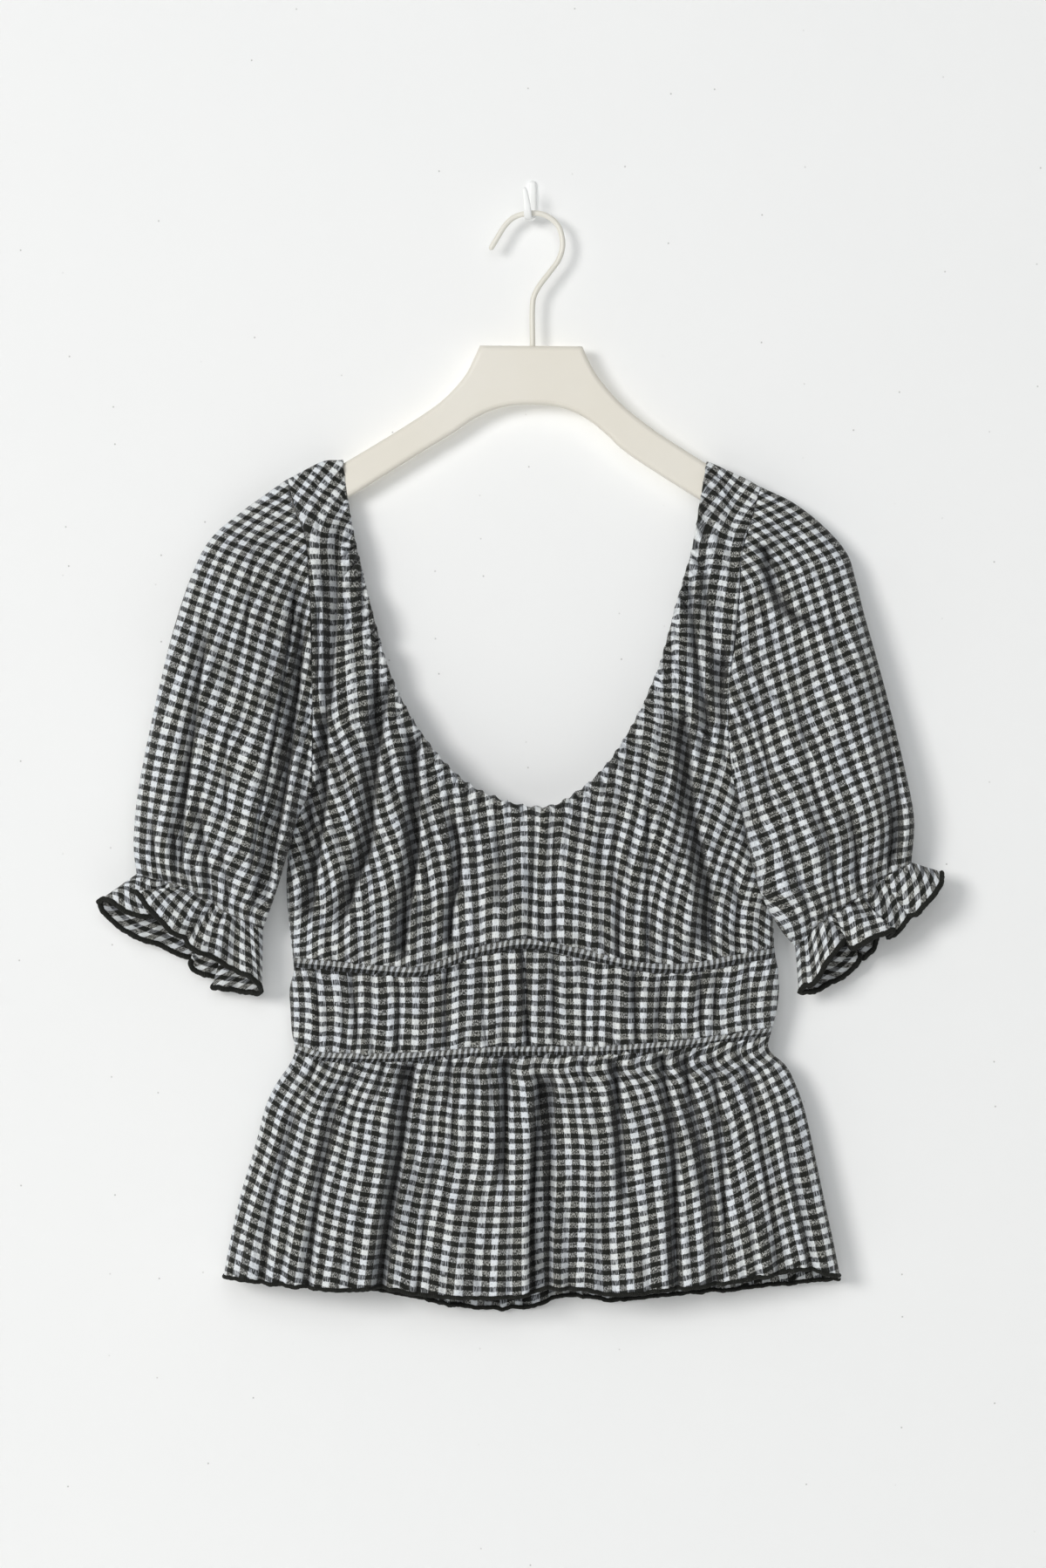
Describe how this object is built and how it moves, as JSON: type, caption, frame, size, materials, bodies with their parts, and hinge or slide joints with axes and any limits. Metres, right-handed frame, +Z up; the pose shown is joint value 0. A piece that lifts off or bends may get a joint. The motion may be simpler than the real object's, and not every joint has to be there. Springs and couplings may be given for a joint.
{
  "type": "puff sleeve top on a hanger and a wall hook",
  "caption": "Black and white gingham puff sleeve top with a scoop neck, ruched waistband and peplum, hanging on a plain hanger from a small wall hook.",
  "frame": {"origin": "on the wall hook's flat back face, level with the upper part of the hanger's wire hook", "axes": "+Y into the wall, +Z up, the garment's front faces -Y and +X is the viewer's right"},
  "size_m": [0.5343, 0.0521, 0.7169],
  "materials": {
    "gingham": "crinkled cotton gingham, black and white checks, matt",
    "overlock": "dense black overlock stitching, matt",
    "hanger_board": "cream, matt",
    "hanger_wire": "cream paint, satin",
    "wall_hook_paint": "white paint, satin"
  },
  "bodies": {
    "root": {"front_bodice": "gingham", "back_bodice": "gingham", "front_underbust_band": "gingham", "back_underbust_band": "gingham", "front_waistband": "gingham", "back_waistband": "gingham", "front_waist_band": "gingham", "back_waist_band": "gingham", "front_peplum": "gingham", "back_peplum": "gingham", "front_hem_edge": "overlock", "back_hem_edge": "overlock", "left_sleeve": "gingham", "right_sleeve": "gingham", "left_ruffle": "gingham", "right_ruffle": "gingham", "left_ruffle_edge": "overlock", "right_ruffle_edge": "overlock", "hanger": "hanger_board", "hanger_hook": "hanger_wire", "wall_hook": "wall_hook_paint"}
  },
  "joints": []
}
